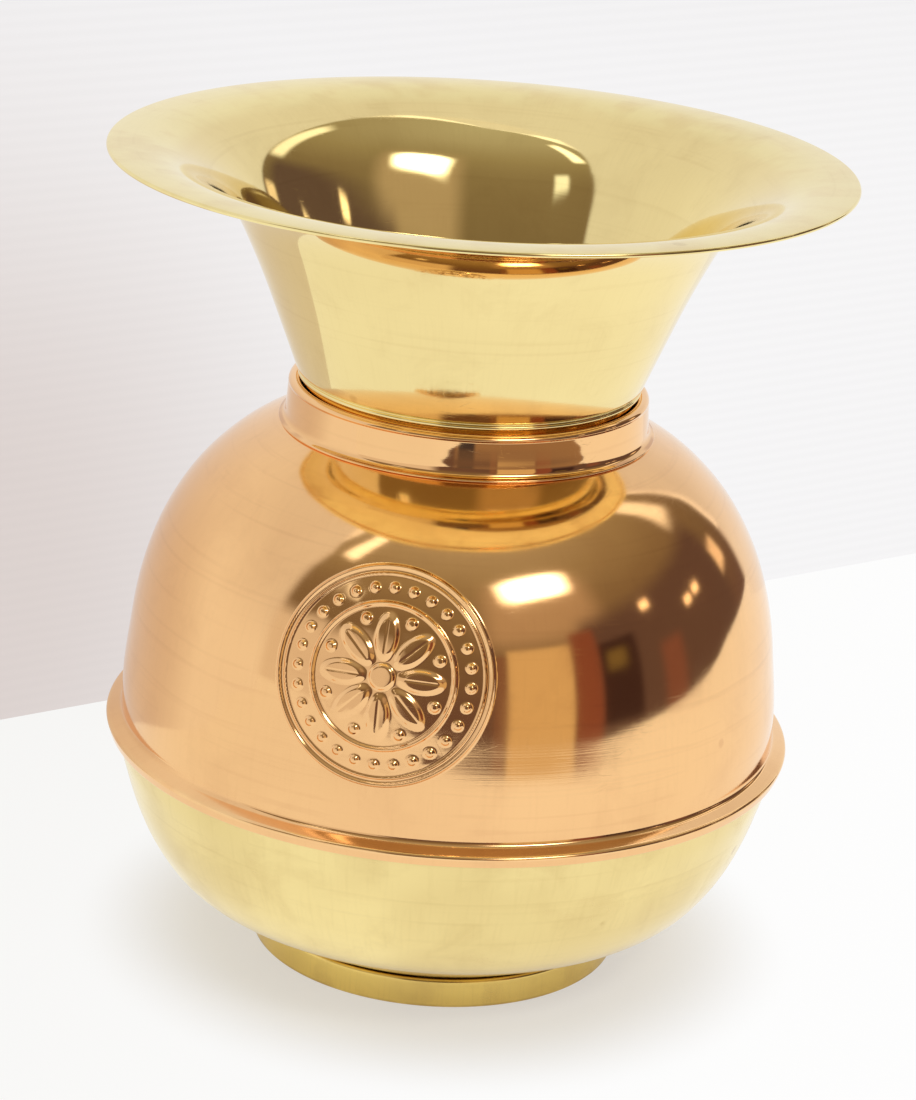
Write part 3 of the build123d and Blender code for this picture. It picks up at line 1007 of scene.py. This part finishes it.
class SPITTOON_OT_bowl(bpy.types.Operator):
    """Make the spun brass bowl with its turned-out lip"""

    bl_idname = "spittoon.bowl"
    bl_label = "Lower Bowl"

    def execute(self, context):
        sizes = context.scene.spittoon_sizes
        lip = rounded_line(BOWL_LIP, {1: 0.5}, 0.6)
        line = joined(BOWL_SEAT, smooth_line(BOWL_WALL, 1.5), lip)
        outline = sheet_outline(line, sizes.sheet / MM, 3.0, from_axis=True)
        bm = turned(outline, sizes.columns, is_closed=False)
        add_piece(bm, "spun_bowl", "lower_bowl", "vessel", "satin_brass")
        return {"FINISHED"}


class SPITTOON_OT_copper_pot(bpy.types.Operator):
    """Make the copper pot with its flange, its skirt and the pressed medallion"""

    bl_idname = "spittoon.copper_pot"
    bl_label = "Copper Pot"

    def execute(self, context):
        sizes = context.scene.spittoon_sizes
        flange = rounded_line(FLANGE, {1: 0.9, 2: 1.7}, 0.5)
        neck = rounded_line(NECK, {1: 1.5}, 0.8)
        bm = turned_sheet(joined(flange, smooth_line(POT_WALL, 1.6), neck), sizes, 3.0)
        wall = PotWall(sizes)
        wall.press(bm)
        normals = wall.normals(bm)
        pot = add_piece(bm, "pressed_pot", "copper_pot", "vessel", "polished_copper")
        pot.data.normals_split_custom_set_from_vertices(normals)
        return {"FINISHED"}


class SPITTOON_OT_collar(bpy.types.Operator):
    """Make the copper collar round the neck"""

    bl_idname = "spittoon.collar"
    bl_label = "Neck Collar"

    def execute(self, context):
        lip = arc_line(COLLAR_LIP_CENTRE, COLLAR_LIP_RADIUS, 10, 180, 17)
        line = joined(smooth_line(COLLAR_BAND, 0.5), lip, [COLLAR_LIP_END])
        bm = turned_sheet(line, context.scene.spittoon_sizes, 1.2)
        add_piece(bm, "rolled_collar", "neck_collar", "vessel", "bright_copper")
        return {"FINISHED"}


class SPITTOON_OT_mouth(bpy.types.Operator):
    """Make the lift-out brass mouth with its bead, step, trumpet and hemmed rim"""

    bl_idname = "spittoon.mouth"
    bl_label = "Mouth Funnel"

    def execute(self, context):
        sizes = context.scene.spittoon_sizes
        sheet, fold = sizes.sheet / MM, sizes.hem_thickness / MM / 2
        spigot = rounded_line(SPIGOT, {1: 0.4, 2: 0.4}, 0.7)
        whole = joined(spigot, smooth_line(TRUMPET, 1.5))
        inner = thinned(beside(whole, sheet), 1.6)
        bead = arc_line(BEAD_CENTRE, BEAD_RADIUS, -102, 78, 10)
        clear = [p for p in whole if (p - Vector(BEAD_CENTRE)).length > BEAD_RADIUS + 0.1]
        cut = next(k for k, p in enumerate(clear) if p.y > BEAD_CENTRE[1])
        outer = clear[:cut] + bead + clear[cut:]
        middle = RIM_TOP - fold
        hem_start = RIM_RADIUS - sizes.hem_width / MM + fold
        hem = arc_line((hem_start, middle), fold, 170, 270, 6)
        edge = arc_line((RIM_RADIUS - fold, middle), fold, -90, 90, 10)
        outline = outer[:-1] + hem + edge + [Vector((inner[-1].x, RIM_TOP))] + inner[-2::-1]
        outline += end_cap(inner[::-1], sheet)
        bm = turned(outline, sizes.columns)
        add_piece(bm, "spun_mouth", "mouth_funnel", "mouth", "polished_brass")
        return {"FINISHED"}


class SPITTOON_PT_panel(bpy.types.Panel):
    """Lists the spittoon's sizes, colours and steps"""

    bl_idname = "SPITTOON_PT_panel"
    bl_label = "Spittoon"
    bl_space_type = "VIEW_3D"
    bl_region_type = "UI"
    bl_category = "Spittoon"

    def draw(self, context):
        for group in (context.scene.spittoon_sizes, context.scene.spittoon_colours):
            box = self.layout.box()
            for name in group.__annotations__:
                box.prop(group, name)
        for operator in OPERATORS:
            self.layout.operator(operator.bl_idname)


OPERATORS = (
    SPITTOON_OT_stage,
    SPITTOON_OT_finishes,
    SPITTOON_OT_ring_foot,
    SPITTOON_OT_bowl,
    SPITTOON_OT_copper_pot,
    SPITTOON_OT_collar,
    SPITTOON_OT_mouth,
)
CLASSES = (SpittoonSizes, SpittoonColours, *OPERATORS, SPITTOON_PT_panel)


def register():
    for cls in CLASSES:
        bpy.utils.register_class(cls)
    bpy.types.Scene.spittoon_sizes = PointerProperty(type=SpittoonSizes)
    bpy.types.Scene.spittoon_colours = PointerProperty(type=SpittoonColours)


def unregister():
    del bpy.types.Scene.spittoon_colours
    del bpy.types.Scene.spittoon_sizes
    for cls in reversed(CLASSES):
        bpy.utils.unregister_class(cls)


def main():
    register()
    bpy.ops.spittoon.stage()
    bpy.ops.spittoon.finishes()
    bpy.ops.spittoon.ring_foot()
    bpy.ops.spittoon.bowl()
    bpy.ops.spittoon.copper_pot()
    bpy.ops.spittoon.collar()
    bpy.ops.spittoon.mouth()


if __name__ == "__main__":
    main()
